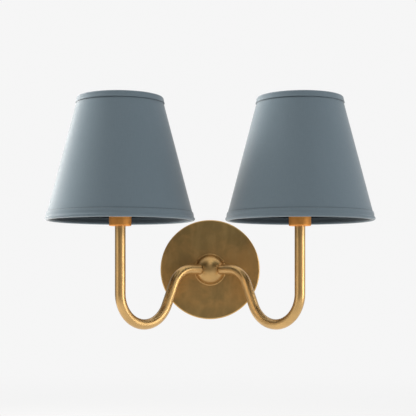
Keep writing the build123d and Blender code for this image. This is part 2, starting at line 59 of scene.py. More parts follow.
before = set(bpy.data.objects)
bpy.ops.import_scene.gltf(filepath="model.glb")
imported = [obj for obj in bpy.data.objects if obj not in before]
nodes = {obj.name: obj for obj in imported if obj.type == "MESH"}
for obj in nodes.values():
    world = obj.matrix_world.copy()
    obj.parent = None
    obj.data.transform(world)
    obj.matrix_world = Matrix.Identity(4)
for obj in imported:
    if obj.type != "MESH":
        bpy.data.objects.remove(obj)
cad_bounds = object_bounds()
sides = ("left", "right")
white = (1.0, 1.0, 1.0, 1.0)

# Points round a shade, up a rolled sheet, and across a band's folds
steps_around = 241
steps_up = 49
steps_along = 81

# How far a lapped end is lifted over its sheet's other end, in thicknesses of the sheet
lap_lift = 1.15

# Nodes that share a finish
turned_brass = ["hub_dome", "hub_base"]
threaded_brass = [
    "hub_nipple",
    "hub_lock_washer",
    "hub_lock_nut",
    "arm_nipples",
    "arm_nuts",
    "cup_nipples",
    "side_screws",
]
zinc_nodes = ["mounting_bar", "terminal_screws", "block_screw"]


# ---------------------------------------------------------------- settings


def colour(name, description, red, green, blue):
    """A colour that a user would change, as scene linear values."""
    return FloatVectorProperty(
        name=name,
        description=description,
        subtype="COLOR",
        size=3,
        min=0.0,
        max=1.0,
        default=(red, green, blue),
    )


def length(name, description, metres, lowest=0.0):
    """A length that a user would change, in metres."""
    return FloatProperty(
        name=name,
        description=description,
        subtype="DISTANCE",
        unit="LENGTH",
        precision=5,
        min=lowest,
        default=metres,
    )


def number(name, description, default, lowest=0.0):
    """A plain number that a user would change."""
    return FloatProperty(name=name, description=description, min=lowest, default=default)


class BrassSettings(bpy.types.PropertyGroup):
    """Colours and scale of the aged brass."""

    worn: colour("Worn brass", "Brass where hands and cloths have kept it bright", 0.67, 0.41, 0.145)
    aged: colour("Aged brass", "Brass under its brown patina", 0.50, 0.285, 0.095)
    tarnish: colour("Tarnish", "The darkest blotches of the patina", 0.31, 0.20, 0.072)
    cup: colour("Cup brass", "The redder brass of the socket cups", 0.98, 0.44, 0.11)
    blotch: length("Blotch size", "Width of the patina's blotches", 0.030)
    rim: length("Rim wear", "Width of the bright wear along a rim", 0.0022)


class ClothSettings(bpy.types.PropertyGroup):
    """Cut, folds and colours of the shades' cloth."""

    cloth: colour("Cloth", "Dyed cloth of the shades and their bands", 0.120, 0.160, 0.187)
    crease: colour("Crease", "Cloth in the shadow of a fold", 0.030, 0.041, 0.050)
    lining: colour("Lining", "Backing sheet inside the shades", 0.014, 0.020, 0.026)
    yarn: length("Yarn pitch", "Distance from one yarn of the weave to the next", 0.00055)
    band_thickness: length("Band thickness", "Thickness of a band's single layer of cloth", 0.0003)
    cover_thickness: length("Cover thickness", "Thickness of the cover on the cone", 0.0005)
    liner_thickness: length("Liner thickness", "Thickness of the backing sheet", 0.0008)
    glue: length("Glue gap", "Gap between the cover and what is folded over it", 0.0001)
    lap: length("Lap", "Overlap of the cloth's seam, on the wall side", 0.010)
    joint: length("Joint", "Hairline left where the backing sheet's ends meet", 0.0002)
    hem_width: length("Hem width", "Width of the edge folded under a band", 0.0035)
    hem_radius: length("Hem radius", "Inside radius of the fold along a band's edge", 0.00015)
    bead_radius: length("Bead radius", "Outside radius of a band over its wire ring", 0.0027)
    bead_bulge: length("Bead bulge", "How far a bead stands out from the cone", 0.0012)
    turn_in: length("Turn in", "Width of a band on the inside of the shade", 0.0058)
    tuck: length("Tuck", "How far the turned-in edge is drawn back to the backing sheet", 0.0016)
    settle: length("Settle", "How far the lower band sinks past its hem", 0.0004)
    ripple: length("Ripple", "Unevenness of the stretched cloth", 0.00012)


class ThreadSettings(bpy.types.PropertyGroup):
    """Screw threads."""

    lamp_pitch: length("Lamp thread pitch", "Pitch of the rolled thread in a screw shell", 0.00254)
    lamp_ridge: length("Lamp thread ridge", "Radius of the rolled ridge", 0.00045)
    pipe_pitch: length("Pipe thread pitch", "Pitch of the thread on a nipple", 0.001)
    pipe_ridge: length("Pipe thread ridge", "Radius of a nipple's thread ridge", 0.0003)
    pipe_turns: number("Pipe thread turns", "Turns of the ridge on the hub's nipple", 7.0)
    shoulder: length("Shoulder", "Height of a screw shell's sloping part", 0.0028)
    lip: length("Lip", "Plain height at a screw shell's rim", 0.0008)
    steps: IntProperty(
        name="Steps a turn",
        description="Points in one turn of a thread",
        default=32,
        min=8,
    )


class StudioSettings(bpy.types.PropertyGroup):
    """Camera, lights and floor."""

    distance: length("Camera distance", "From the camera to the plane of the shades' axes", 1.248)
    height: length("Camera height", "Height of the camera above the plate's middle", -0.01415, -1.0)
    lens: number("Lens", "Focal length in millimetres on a 36 mm sensor", 90.69, 1.0)
    floor: length("Floor drop", "From the middle of the plate down to the floor", 0.36)
    backdrop: number("Backdrop", "Brightness of the pale backdrop", 0.92)
    ambient: number("Ambient", "Brightness of the light from all around", 0.41)


# ---------------------------------------------------------------- node trees


class Value:
    """One output of a node. Arithmetic on values adds the Math nodes that work it out."""

    def __init__(self, tree, socket):
        self.tree = tree
        self.socket = socket

    def math(self, operation, *others):
        return self.tree.add("ShaderNodeMath", {"operation": operation}, (self, *others))

    def output(self, name):
        """Another output of the same node."""
        return Value(self.tree, self.socket.node.outputs[name])

    def __add__(self, other):
        return self.math("ADD", other)

    def __radd__(self, other):
        return self.math("ADD", other)

    def __sub__(self, other):
        return self.math("SUBTRACT", other)

    def __rsub__(self, other):
        return self.tree.add("ShaderNodeMath", {"operation": "SUBTRACT"}, (other, self))

    def __mul__(self, other):
        return self.math("MULTIPLY", other)

    def __truediv__(self, other):
        return self.math("DIVIDE", other)


class Tree:
    """A shader or geometry tree, with one method that adds every kind of node."""

    def __init__(self, tree):
        self.tree = tree

    def add(self, kind, settings=None, inputs=(), output=0):
        """Adds a node: first its settings, then its sockets' values or links. Gives one output."""
        node = self.tree.nodes.new(kind)
        for name, value in (settings or {}).items():
            setattr(node, name, value)
        pairs = inputs.items() if isinstance(inputs, dict) else enumerate(inputs)
        for key, value in pairs:
            self.feed(node.inputs[key], value)
        return Value(self, node.outputs[output]) if node.outputs else node

    def feed(self, socket, value):
        """Links one value or several to a socket, or sets the socket's own number or colour."""
        if isinstance(value, list):
            for single in value:
                self.tree.links.new(single.socket, socket)
        elif isinstance(value, Value):
            self.tree.links.new(value.socket, socket)
        else:
            socket.default_value = value

    def split(self, vector):
        """The three numbers of a vector."""
        parts = self.add("ShaderNodeSeparateXYZ", None, (vector,))
        return parts, parts.output("Y"), parts.output("Z")

    def join(self, x, y, z):
        """A vector from three numbers."""
        return self.add("ShaderNodeCombineXYZ", None, (x, y, z))

    def vector(self, operation, first, second):
        """Vector Math on two vectors."""
        return self.add("ShaderNodeVectorMath", {"operation": operation}, (first, second))

    def rise(self, value, low, high):
        """0 where a value is at low, 1 where it is at high, smooth between and level beyond."""
        settings = {"interpolation_type": "SMOOTHSTEP"}
        inputs = {"Value": value, "From Min": low, "From Max": high}
        return self.add("ShaderNodeMapRange", settings, inputs)

    def near(self, value, middle, half, soft):
        """1 where a value is within half of the middle, falling to 0 over the soft width beyond."""
        return self.rise((value - middle).math("ABSOLUTE"), half + soft, half)

    def noise(self, place, scale, detail=2.0, roughness=0.5, distortion=0.0):
        """Noise from 0 to 1, about 0.5 in the middle."""
        inputs = {
            "Vector": place,
            "Scale": scale,
            "Detail": detail,
            "Roughness": roughness,
            "Distortion": distortion,
        }
        return self.add("ShaderNodeTexNoise", None, inputs)

    def blend(self, factor, first, second):
        """A colour between two others."""
        inputs = {0: factor, 6: first, 7: second}
        return self.add("ShaderNodeMix", {"data_type": "RGBA"}, inputs, output=2)

    def shade(self, tone, factor):
        """A colour made darker or lighter by a factor."""
        settings = {"data_type": "RGBA", "blend_type": "MULTIPLY"}
        grey = self.join(factor, factor, factor)
        return self.add("ShaderNodeMix", settings, {0: 1.0, 6: tone, 7: grey}, output=2)


class Finish(Tree):
    """The node tree of one material."""

    def __init__(self, name):
        self.material = bpy.data.materials.new(name)
        self.material.use_nodes = True
        super().__init__(self.material.node_tree)
        self.tree.nodes.clear()

    def place(self):
        """The point on the piece, in metres in the object's own frame."""
        return self.add("ShaderNodeTexCoord", output="Object")

    def bump(self, height, distance, strength):
        """A normal that follows a height from 0 to 1, the height of a 1 given in metres."""
        inputs = {"Strength": strength, "Distance": distance, "Height": height}
        return self.add("ShaderNodeBump", None, inputs)

    def close(self, inputs):
        """Adds the surface shader with its inputs, and gives the finished material."""
        shader = self.add("ShaderNodeBsdfPrincipled", None, inputs)
        self.add("ShaderNodeOutputMaterial", None, {"Surface": shader})
        return self.material


def rgba(rgb):
    """A colour with full alpha."""
    return (*rgb, 1.0)


def geometry_tree(name, inputs):
    """An empty geometry tree with named inputs, and the inputs as values."""
    group = bpy.data.node_groups.new(name, "GeometryNodeTree")
    group.interface.new_socket("Geometry", in_out="OUTPUT", socket_type="NodeSocketGeometry")
    for label, kind in inputs.items():
        group.interface.new_socket(label, in_out="INPUT", socket_type="NodeSocket" + kind)
    tree = Tree(group)
    entry = group.nodes.new("NodeGroupInput")
    return tree, {label: Value(tree, entry.outputs[label]) for label in inputs}


def close_geometry(tree, geometry, material):
    """Ends a geometry tree: real smooth meshes with their material."""
    real = tree.add("GeometryNodeRealizeInstances", None, (geometry,))
    smooth = tree.add("GeometryNodeSetShadeSmooth", None, {"Geometry": real})
    dressed = tree.add("GeometryNodeSetMaterial", None, {"Geometry": smooth, "Material": material})
    tree.add("NodeGroupOutput", None, (dressed,))


def grow(name, group, values):
    """Runs a geometry tree with its input values and keeps the result as a plain mesh object."""
    piece = bpy.data.objects.new(name, bpy.data.meshes.new(name))
    bpy.context.scene.collection.objects.link(piece)
    modifier = piece.modifiers.new("Shape", "NODES")
    modifier.node_group = group
    for item in group.interface.items_tree:
        if item.in_out == "INPUT":
            modifier[item.identifier] = values[item.name]
    grown = piece.evaluated_get(bpy.context.evaluated_depsgraph_get())
    mesh = bpy.data.meshes.new_from_object(grown)
    if not mesh.polygons:
        raise RuntimeError(f"{name} came out empty")
    piece.modifiers.remove(modifier)
    piece.data = mesh
    mesh.name = name
    mesh.set_sharp_from_angle(angle=radians(40))
    return piece


def mark_plane(tree, geometry, across, along):
    """Stores where each point lies on the flat cloth, in metres, as the UV map."""
    settings = {"data_type": "FLOAT2", "domain": "CORNER"}
    inputs = {"Geometry": geometry, "Name": "UVMap", "Value": tree.join(across, along, 0.0)}
    return tree.add("GeometryNodeStoreNamedAttribute", settings, inputs)


def thicken(tree, sheet, thickness):
    """A closed shell from a sheet: the sheet's other face lies a thickness along its normals."""
    inputs = {"Mesh": sheet, "Offset Scale": thickness, "Individual": False}
    outside = tree.add("GeometryNodeExtrudeMesh", {"mode": "FACES"}, inputs)
    inside = tree.add("GeometryNodeFlipFaces", None, {"Mesh": sheet})
    both = tree.add("GeometryNodeJoinGeometry", None, {"Geometry": [outside, inside]})
    return tree.add("GeometryNodeMergeByDistance", None, {"Geometry": both, "Distance": 1e-6})


def unit_grid(tree, across, along):
    """A grid and the two numbers from 0 to 1 that say where a point of it lies."""
    inputs = {"Size X": 1.0, "Size Y": 1.0, "Vertices X": across, "Vertices Y": along}
    grid = tree.add("GeometryNodeMeshGrid", None, inputs)
    x, y, _ = tree.split(tree.add("GeometryNodeInputPosition"))
    return grid, x + 0.5, y + 0.5


def unevenness(tree, place, seed, amount):
    """A gentle unevenness of stretched cloth, from minus to plus an amount."""
    inputs = {"Vector": place, "W": seed, "Scale": 1.0, "Detail": 1.0}
    return (tree.add("ShaderNodeTexNoise", {"noise_dimensions": "4D"}, inputs) - 0.5) * 2.0 * amount


def on_circle(tree, centre, angle, radius, height):
    """The point at an angle and radius about an upright axis."""
    around = tree.join(angle.math("COSINE") * radius, angle.math("SINE") * radius, height)
    return tree.vector("ADD", centre, around)


def rolled_cone_tree():
    """A sheet rolled to a cone, its ends lapped or butted on the wall side."""
    inputs = {
        "Centre": "Vector",
        "Low": "Float",
        "High": "Float",
        "Low Radius": "Float",
        "High Radius": "Float",
        "Thickness": "Float",
        "Lap": "Float",
        "Lift": "Float",
        "Ripple": "Float",
        "Seed": "Float",
        "Around": "Int",
        "Up": "Int",
        "Material": "Material",
    }
    tree, given = geometry_tree("Rolled cone", inputs)
    grid, across, up = unit_grid(tree, given["Around"], given["Up"])
    rise = given["High"] - given["Low"]
    taper = given["Low Radius"] - given["High Radius"]
    radius = given["Low Radius"] - taper * up
    girth = radius * (2 * pi) + given["Lap"]
    # The seam faces the wall, at a quarter turn, so the middle of the sheet faces the room.
    turn = (across - 0.5) * girth / radius
    from_end = (1.0 - across) * girth
    lift = given["Lift"] * (1.0 - tree.rise(from_end, given["Lap"], given["Lap"] * 2.0))
    waves = unevenness(tree, tree.join(turn * 2.0, up * 3.0, 0.0), given["Seed"], given["Ripple"])
    inner = radius - given["Thickness"] + lift + waves
    place = on_circle(tree, given["Centre"], turn + 1.5 * pi, inner, given["Low"] + rise * up)

    # The cloth's own plane: the flat sector that the cone is rolled from
    share = taper / (taper * taper + rise * rise).math("SQRT")
    reach = radius / share
    spread = turn * share
    flat = mark_plane(tree, grid, spread.math("SINE") * reach, spread.math("COSINE") * reach)
    sheet = tree.add("GeometryNodeSetPosition", None, {"Geometry": flat, "Position": place})
    close_geometry(tree, thicken(tree, sheet, given["Thickness"]), given["Material"])
    return tree.tree


def folded_band_tree():
    """A band of cloth folded over a wire ring: hem, outer leg, bead and turned-in leg."""
    inputs = {
        "Centre": "Vector",
        "Edge": "Float",
        "End": "Float",
        "Width": "Float",
        "Free Radius": "Float",
        "Slope": "Float",
        "Settle": "Float",
        "Bulge": "Float",
        "Bead Radius": "Float",
        "Hem Radius": "Float",
        "Hem Width": "Float",
        "Turn In": "Float",
        "Tuck": "Float",
        "Thickness": "Float",
        "Lap": "Float",
        "Ripple": "Float",
        "Seed": "Float",
        "Around": "Int",
        "Along": "Int",
        "Material": "Material",
    }
    tree, given = geometry_tree("Folded band", inputs)
    grid, across, along = unit_grid(tree, given["Around"], given["Along"])
    hem = given["Hem Width"]
    fold = given["Hem Radius"] * pi
    leg = given["Width"] - given["Bead Radius"] - given["Hem Radius"]
    bead = given["Bead Radius"] * pi
    walked = along * (hem + fold + leg + bead + given["Turn In"])

    def stretch(start, span):
        """How far along one stretch of the profile the walk has come."""
        return (walked - start).math("MAXIMUM", 0.0).math("MINIMUM", span)

    on_hem = stretch(0.0, hem)
    on_fold = stretch(hem, fold) / given["Hem Radius"]
    on_leg = stretch(hem + fold, leg)
    on_bead = stretch(hem + fold + leg, bead) / given["Bead Radius"]
    on_turn = stretch(hem + fold + leg + bead, given["Turn In"])
    part = on_leg / leg
    # Out from the shade's axis: the cone's slope, then what the folds and the wire add
    radius = given["Free Radius"] - given["End"] * given["Slope"] * (hem - on_hem + on_leg - on_turn)
    radius = radius - given["Hem Radius"] * (1.0 + on_fold.math("COSINE"))
    radius = radius - given["Settle"] * tree.rise(part, 0.3, 0.6)
    radius = radius + given["Bulge"] * tree.rise(part, 0.76, 1.0)
    radius = radius - given["Bead Radius"] * (1.0 - on_bead.math("COSINE"))
    radius = radius + given["Tuck"] * tree.rise(on_turn / given["Turn In"], 0.0, 0.7)
    # Along the axis, from the shade's edge
    reach = hem - on_hem + given["Hem Radius"] * (1.0 - on_fold.math("SINE")) - given["Width"]
    reach = reach + on_leg + given["Bead Radius"] * on_bead.math("SINE") - on_turn

    girth = given["Free Radius"] * (2 * pi) + given["Lap"]
    turn = (across - 0.5) * girth / given["Free Radius"]
    from_end = (1.0 - across) * girth
    lapped = 1.0 - tree.rise(from_end, given["Lap"], given["Lap"] * 1.8)
    lift = given["Thickness"] * lap_lift * lapped
    waves = unevenness(tree, tree.join(turn * 4.0, along * 2.0, 0.0), given["Seed"], given["Ripple"])
    angle = turn * given["End"] + 1.5 * pi
    height = given["Edge"] + given["End"] * reach
    place = on_circle(tree, given["Centre"], angle, radius + lift + waves, height)
    flat = mark_plane(tree, grid, turn * given["Free Radius"], walked)
    sheet = tree.add("GeometryNodeSetPosition", None, {"Geometry": flat, "Position": place})
    close_geometry(tree, thicken(tree, sheet, given["Thickness"]), given["Material"])
    return tree.tree


def thread_tree():
    """The ridge of a screw thread: a wire wound to a helix."""
    inputs = {
        "Place": "Vector",
        "Turn": "Vector",
        "Radius": "Float",
        "Pitch": "Float",
        "Turns": "Float",
        "Ridge": "Float",
        "Steps": "Int",
        "Material": "Material",
    }
    tree, given = geometry_tree("Thread ridge", inputs)
    helix_inputs = {
        "Resolution": given["Steps"],
        "Rotations": given["Turns"],
        "Start Radius": given["Radius"],
        "End Radius": given["Radius"],
        "Height": given["Pitch"] * given["Turns"],
    }
    helix = tree.add("GeometryNodeCurveSpiral", None, helix_inputs)
    section_inputs = {"Resolution": 8, "Radius": given["Ridge"]}
    section = tree.add("GeometryNodeCurvePrimitiveCircle", None, section_inputs)
    ridge_inputs = {"Curve": helix, "Profile Curve": section, "Fill Caps": True}
    ridge = tree.add("GeometryNodeCurveToMesh", None, ridge_inputs)
    placed_inputs = {"Geometry": ridge, "Translation": given["Place"], "Rotation": given["Turn"]}
    placed = tree.add("GeometryNodeTransform", None, placed_inputs)
    close_geometry(tree, placed, given["Material"])
    return tree.tree


# ---------------------------------------------------------------- finishes


def aged_brass(name, wear_of, bright, roughness, lacquer):
    """Brass under a mottled patina. wear_of says where on the piece it is bright."""
    brass = bpy.context.scene.sconce_brass
    finish = Finish(name)
    place = finish.place()
    wear = wear_of(finish, place)
    clouds = finish.noise(place, 1.0 / brass.blotch, 4.0, 0.55, 0.4)
    # The patina is lighter at the height of the hub and darker above and below it.
    _, _, height = finish.split(place)
    lighter_at_hub_height = 0.07 - height * height * 60.0
    blotches = finish.rise(clouds + lighter_at_hub_height, 0.34, 0.68)
    drips = finish.noise(finish.vector("MULTIPLY", place, (90.0, 90.0, 40.0)), 1.0, 3.0, 0.55, 0.3)
    streaks = finish.rise(drips, 0.42, 0.7)
    specks = finish.rise(finish.noise(place, 900.0, 2.0, 0.6), 0.6, 0.75)
    tarnished = finish.blend(blotches, rgba(brass.tarnish), rgba(brass.aged))
    toned = finish.blend(streaks * 0.25, tarnished, rgba(bright))
    worn = finish.blend(wear, toned, rgba(bright))
    inputs = {
        "Base Color": finish.blend(specks * 0.07, worn, rgba(brass.tarnish)),
        "Metallic": 1.0,
        "Roughness": roughness - wear * 0.12 - streaks * 0.03 + specks * 0.03 - blotches * 0.04,
        "Coat Weight": lacquer,
        "Coat Roughness": 0.26,
        "Normal": finish.bump(clouds, 0.00004, 0.12),
    }
    return finish.close(inputs)


def plain_metal(name, tone, stain, roughness, grain):
    """Plain machined or plated metal with a fine grain and a little staining."""
    finish = Finish(name)
    place = finish.place()
    lines = finish.noise(finish.vector("MULTIPLY", place, grain), 1.0, 2.0, 0.6)
    stains = finish.rise(finish.noise(place, 160.0, 3.0, 0.6), 0.5, 0.75)
    inputs = {
        "Base Color": finish.blend(stains * 0.6, rgba(tone), rgba(stain)),
        "Metallic": 1.0,
        "Roughness": roughness + lines * 0.12 + stains * 0.15,
        "Normal": finish.bump(lines, 0.00002, 0.6),
    }
    return finish.close(inputs)


def moulded(name, tone, roughness):
    """Moulded plastic: a fine spark texture and a slightly uneven sheen."""
    finish = Finish(name)
    place = finish.place()
    grain = finish.noise(place, 2600.0)
    haze = finish.rise(finish.noise(place, 90.0), 0.4, 0.7)
    inputs = {
        "Base Color": finish.shade(rgba(tone), 0.92 + haze * 0.12),
        "Roughness": roughness + haze * 0.1,
        "Normal": finish.bump(grain, 0.00003, 0.5),
    }
    return finish.close(inputs)


def enamelled(name, tone, bare):
    """Satin enamel on wire or a screw, thin on its high spots."""
    finish = Finish(name)
    place = finish.place()
    chips = finish.rise(finish.noise(place, 420.0, 3.0, 0.65), 0.68, 0.74)
    inputs = {
        "Base Color": finish.blend(chips * 0.6, rgba(tone), rgba(bare)),
        "Roughness": 0.38 + chips * 0.2,
        "Normal": finish.bump(finish.noise(place, 700.0, 1.0), 0.00003, 0.4),
    }
    return finish.close(inputs)


def woven(name, shadow_of):
    """Plain-woven cloth on its own plane. shadow_of says where painted shade darkens it."""
    settings = bpy.context.scene.sconce_cloth
    finish = Finish(name)
    plane = finish.add("ShaderNodeUVMap", {"uv_map": "UVMap"})
    x, y, _ = finish.split(plane)
    _, _, height = finish.split(finish.place())
    warp = (x * (pi / settings.yarn)).math("SINE")
    weft = (y * (pi / settings.yarn)).math("SINE")
    weave = warp * weft * 0.5 + 0.5
    slubs_across = finish.noise(finish.vector("MULTIPLY", plane, (90.0, 1800.0, 1.0)), 1.0, 3.0, 0.6)
    slubs_along = finish.noise(finish.vector("MULTIPLY", plane, (1800.0, 90.0, 1.0)), 1.0, 3.0, 0.6)
    slubs = slubs_across * 0.5 + slubs_along * 0.5
    cloth = finish.shade(rgba(settings.cloth), 0.80 + slubs * 0.34 + weave * 0.06)
    # The crease colour is painted shade, laid where shadow_of says
    inputs = {
        "Base Color": finish.blend(shadow_of(finish, y, height), cloth, rgba(settings.crease)),
        "Roughness": 0.84 + slubs * 0.12,
        "Sheen Weight": 0.45,
        "Sheen Roughness": 0.4,
        "Specular IOR Level": 0.25,
        "Normal": finish.bump(weave * 0.6 + slubs * 0.4, 0.00009, 0.5),
    }
    return finish.close(inputs)


def backing_sheet(name, tone):
    """The matt backing sheet inside a shade, with the faint grain of pressed board."""
    finish = Finish(name)
    place = finish.place()
    grain = finish.noise(place, 1500.0, 3.0, 0.6)
    inputs = {
        "Base Color": finish.shade(rgba(tone), 0.8 + finish.noise(place, 60.0) * 0.3 + grain * 0.1),
        "Roughness": 0.85,
        "Specular IOR Level": 0.2,
        "Normal": finish.bump(grain, 0.00004, 0.5),
    }
    return finish.close(inputs)


def dress(names, material):
    """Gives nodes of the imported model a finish."""
    for name in names:
        mesh = nodes[name].data
        if not mesh.materials:
            mesh.materials.append(material)
        for index in range(len(mesh.materials)):
            mesh.materials[index] = material


def both(*parts):
    """The left and right node of each part."""
    return [f"{side}_{part}" for part in parts for side in sides]


# ---------------------------------------------------------------- places read from the frame


def middle(node):
    """Middle of a node's box."""
    low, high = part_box(node)
    return (low + high) / 2


def shade_axis(side):
    """Where the upright axis of one shade meets height 0."""
    centre = middle(f"{side}_shade_cover")
    return (centre.x, centre.y, 0.0)


def radius_at(node, side, height):
    """Largest radius of a node about its shade's axis, at a height where it has points."""
    x, y, _ = shade_axis(side)
    close = 1e-5
    points = [vertex.co for vertex in nodes[node].data.vertices if abs(vertex.co.z - height) < close]
    if not points:
        raise RuntimeError(f"{node} has no point at height {height}")
    return max(hypot(point.x - x, point.y - y) for point in points)


def cone_of(node, side):
    """The lower and upper heights of a rolled cone and its outer radii there."""
    low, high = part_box(node)
    return low.z, high.z, radius_at(node, side, low.z), radius_at(node, side, high.z)


# ---------------------------------------------------------------- operators


class DressBrass(bpy.types.Operator):
    """Gives the plate, hub, arms and cups their aged brass"""

    bl_idname = "sconce.dress_brass"
    bl_label = "Aged brass"

    def execute(self, context):
        brass = context.scene.sconce_brass
        low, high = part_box("backplate")
        plate_radius = (high.x - low.x) / 2
        cup_low, cup_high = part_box("left_socket_cup")

        def plate_wear(finish, place):
            x, _, z = finish.split(place)
            radius = (x * x + z * z).math("SQRT")
            return finish.rise(radius, plate_radius - brass.rim, plate_radius - brass.rim * 0.3) * 0.85

        def hub_wear(finish, place):
            return finish.rise(finish.noise(place, 60.0), 0.4, 0.7) * 0.35 + 0.4

        def arm_wear(finish, place):
            return finish.rise(finish.noise(place, 34.0, 3.0, 0.55), 0.34, 0.66) * 0.35 + 0.6

        def cup_wear(finish, place):
            _, _, z = finish.split(place)
            lower = finish.rise(z, cup_low.z + brass.rim, cup_low.z)
            upper = finish.rise(z, cup_high.z - brass.rim, cup_high.z)
            return lower.math("MAXIMUM", upper) * 0.2 + 0.75

        dress(["backplate"], aged_brass("Aged brass plate", plate_wear, brass.worn, 0.46, 0.3))
        dress(turned_brass, aged_brass("Aged brass hub", hub_wear, brass.worn, 0.47, 0.5))
        dress(both("arm"), aged_brass("Aged brass tube", arm_wear, brass.worn, 0.47, 0.7))
        dress(both("socket_cup"), aged_brass("Aged brass cup", cup_wear, brass.cup, 0.70, 0.0))
        return {"FINISHED"}


class DressFixings(bpy.types.Operator):
    """Gives the bar, screws, nuts, block and leads behind the plate their finishes"""

    bl_idname = "sconce.dress_fixings"
    bl_label = "Fixings"

    def execute(self, context):
        turned = (60.0, 60.0, 2400.0)
        rolled = (2600.0, 60.0, 60.0)
        machined = plain_metal("Machined brass", (0.56, 0.40, 0.17), (0.30, 0.19, 0.07), 0.26, turned)
        dress(threaded_brass, machined)
        zinc = plain_metal("Zinc plate", (0.58, 0.59, 0.60), (0.36, 0.36, 0.37), 0.34, rolled)
        dress(zinc_nodes, zinc)
        dress(["ground_screw"], enamelled("Green enamel", (0.02, 0.17, 0.06), (0.35, 0.36, 0.36)))
        dress(["terminal_block"], moulded("Ivory block", (0.72, 0.70, 0.62), 0.42))
        dress(both("lead"), moulded("Lead sheath", (0.30, 0.20, 0.08), 0.45))
        return {"FINISHED"}


class DressLampholders(bpy.types.Operator):
    """Gives the lampholders, their keepers and their contacts their finishes"""

    bl_idname = "sconce.dress_lampholders"
    bl_label = "Lampholders"

    def execute(self, context):
        drawn = (60.0, 60.0, 1800.0)
        moulding = moulded("Black moulding", (0.016, 0.016, 0.018), 0.36)
        dress(both("lampholder", "shade_keeper"), moulding)
        contact = plain_metal("Contact brass", (0.68, 0.50, 0.22), (0.42, 0.29, 0.12), 0.22, drawn)
        dress(both("screw_shell", "centre_contact"), contact)
        return {"FINISHED"}


class DressWires(bpy.types.Operator):
    """Gives the shades' carriers and upper rings their enamel"""

    bl_idname = "sconce.dress_wires"
    bl_label = "Wire frames"

    def execute(self, context):
        enamel = enamelled("Grey enamel", (0.055, 0.065, 0.075), (0.30, 0.30, 0.31))
        dress(both("shade_carrier", "shade_top_ring"), enamel)
        return {"FINISHED"}


class AddThreads(bpy.types.Operator):
    """Winds the thread ridges of the screw shells and of the hub's nipple"""

    bl_idname = "sconce.add_threads"
    bl_label = "Threads"

    def execute(self, context):
        threads = context.scene.sconce_threads
        group = thread_tree()
        for side in sides:
            shell = f"{side}_screw_shell"
            low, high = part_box(shell)
            values = {
                "Place": (middle(shell).x, middle(shell).y, low.z + threads.shoulder),
                "Turn": (0.0, 0.0, 0.0),
                "Radius": (high.x - low.x) / 2 - threads.lamp_ridge * 0.6,
                "Pitch": threads.lamp_pitch,
                "Turns": (high.z - low.z - threads.shoulder - threads.lip) / threads.lamp_pitch,
                "Ridge": threads.lamp_ridge,
                "Steps": threads.steps,
                "Material": bpy.data.materials["Contact brass"],
            }
            self.wind(f"{side}_lamp_thread", group, values, "contact_brass")
        low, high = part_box("hub_nipple")
        values = {
            "Place": (0.0, high.y - threads.pipe_ridge, 0.0),
            "Turn": (radians(90), 0.0, 0.0),
            "Radius": (high.x - low.x) / 2 - threads.pipe_ridge * 0.5,
            "Pitch": threads.pipe_pitch,
            "Turns": threads.pipe_turns,
            "Ridge": threads.pipe_ridge,
            "Steps": threads.steps,
            "Material": bpy.data.materials["Machined brass"],
        }
        self.wind("hub_nipple_thread", group, values, "plain_brass")
        return {"FINISHED"}

    def wind(self, name, group, values, slot):
        """Winds one ridge, which stays with the wall's body."""
        ridge = grow(name, group, values)
        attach(ridge, "wall_mount")


class AddCovers(bpy.types.Operator):
    """Rolls the cloth covers of the shades and the backing sheets under them"""

    bl_idname = "sconce.add_covers"
    bl_label = "Covers and linings"

    def execute(self, context):
        cut = context.scene.sconce_cloth
        group = rolled_cone_tree()
        lower_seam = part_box("left_shade_bottom_trim")[1].z
        upper_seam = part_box("left_shade_top_trim")[0].z

        # Painted shadow: thin dark lines on the cover just beside the lower and upper bands
        def painted_shade_beside_bands(finish, along, height):
            lower = finish.near(height, lower_seam, 0.0, 0.0012) * 0.45
            upper = finish.near(height, upper_seam, 0.0, 0.0013) * 0.5
            return lower.math("MAXIMUM", upper)

        cloth = woven("Shade cloth", painted_shade_beside_bands)
        lining = backing_sheet("Shade lining", cut.lining)
        of_cloth = {
            "Thickness": cut.cover_thickness,
            "Lap": cut.lap,
            "Lift": cut.cover_thickness * lap_lift,
            "Ripple": cut.ripple,
            "Material": cloth,
        }
        # The backing sheet's ends meet, a joint apart, instead of lapping.
        of_board = {
            "Thickness": cut.liner_thickness,
            "Lap": -cut.joint,
            "Lift": 0.0,
            "Ripple": 0.0,
            "Material": lining,
        }
        for side in sides:
            cover = self.roll(group, side, "cover", "shade_fabric", of_cloth)
            self.roll(group, side, "liner", "shade_lining", of_board)
            self.declare(cover, side, cut.lap)
        return {"FINISHED"}

    def roll(self, group, side, part, slot, sheet_values):
        """Rolls one sheet on one shade."""
        node = f"{side}_shade_{part}"
        low, high, low_radius, high_radius = cone_of(node, side)
        values = {
            "Centre": shade_axis(side),
            "Low": low,
            "High": high,
            "Low Radius": low_radius,
            "High Radius": high_radius,
            "Seed": float(sides.index(side)),
            "Around": steps_around,
            "Up": steps_up,
            **sheet_values,
        }
        sheet = grow(f"{node}_rolled", group, values)
        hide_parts(node)
        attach(sheet, f"{side}_shade")
        return sheet

    def declare(self, sheet, side, lap):
        """Works out the size a cover was cut to, a sector of a flat ring and the strip of its lap, but
        passes none of it on.
        """
        low, high, low_radius, high_radius = cone_of(f"{side}_shade_cover", side)
        slant = hypot(high - low, low_radius - high_radius)
        outer = low_radius * slant / (low_radius - high_radius)
        half_angle = pi * low_radius / outer
        width = 2 * outer * sin(half_angle) + lap
        depth = outer - (outer - slant) * cos(half_angle)
        area = pi * (low_radius + high_radius) * slant + lap * slant


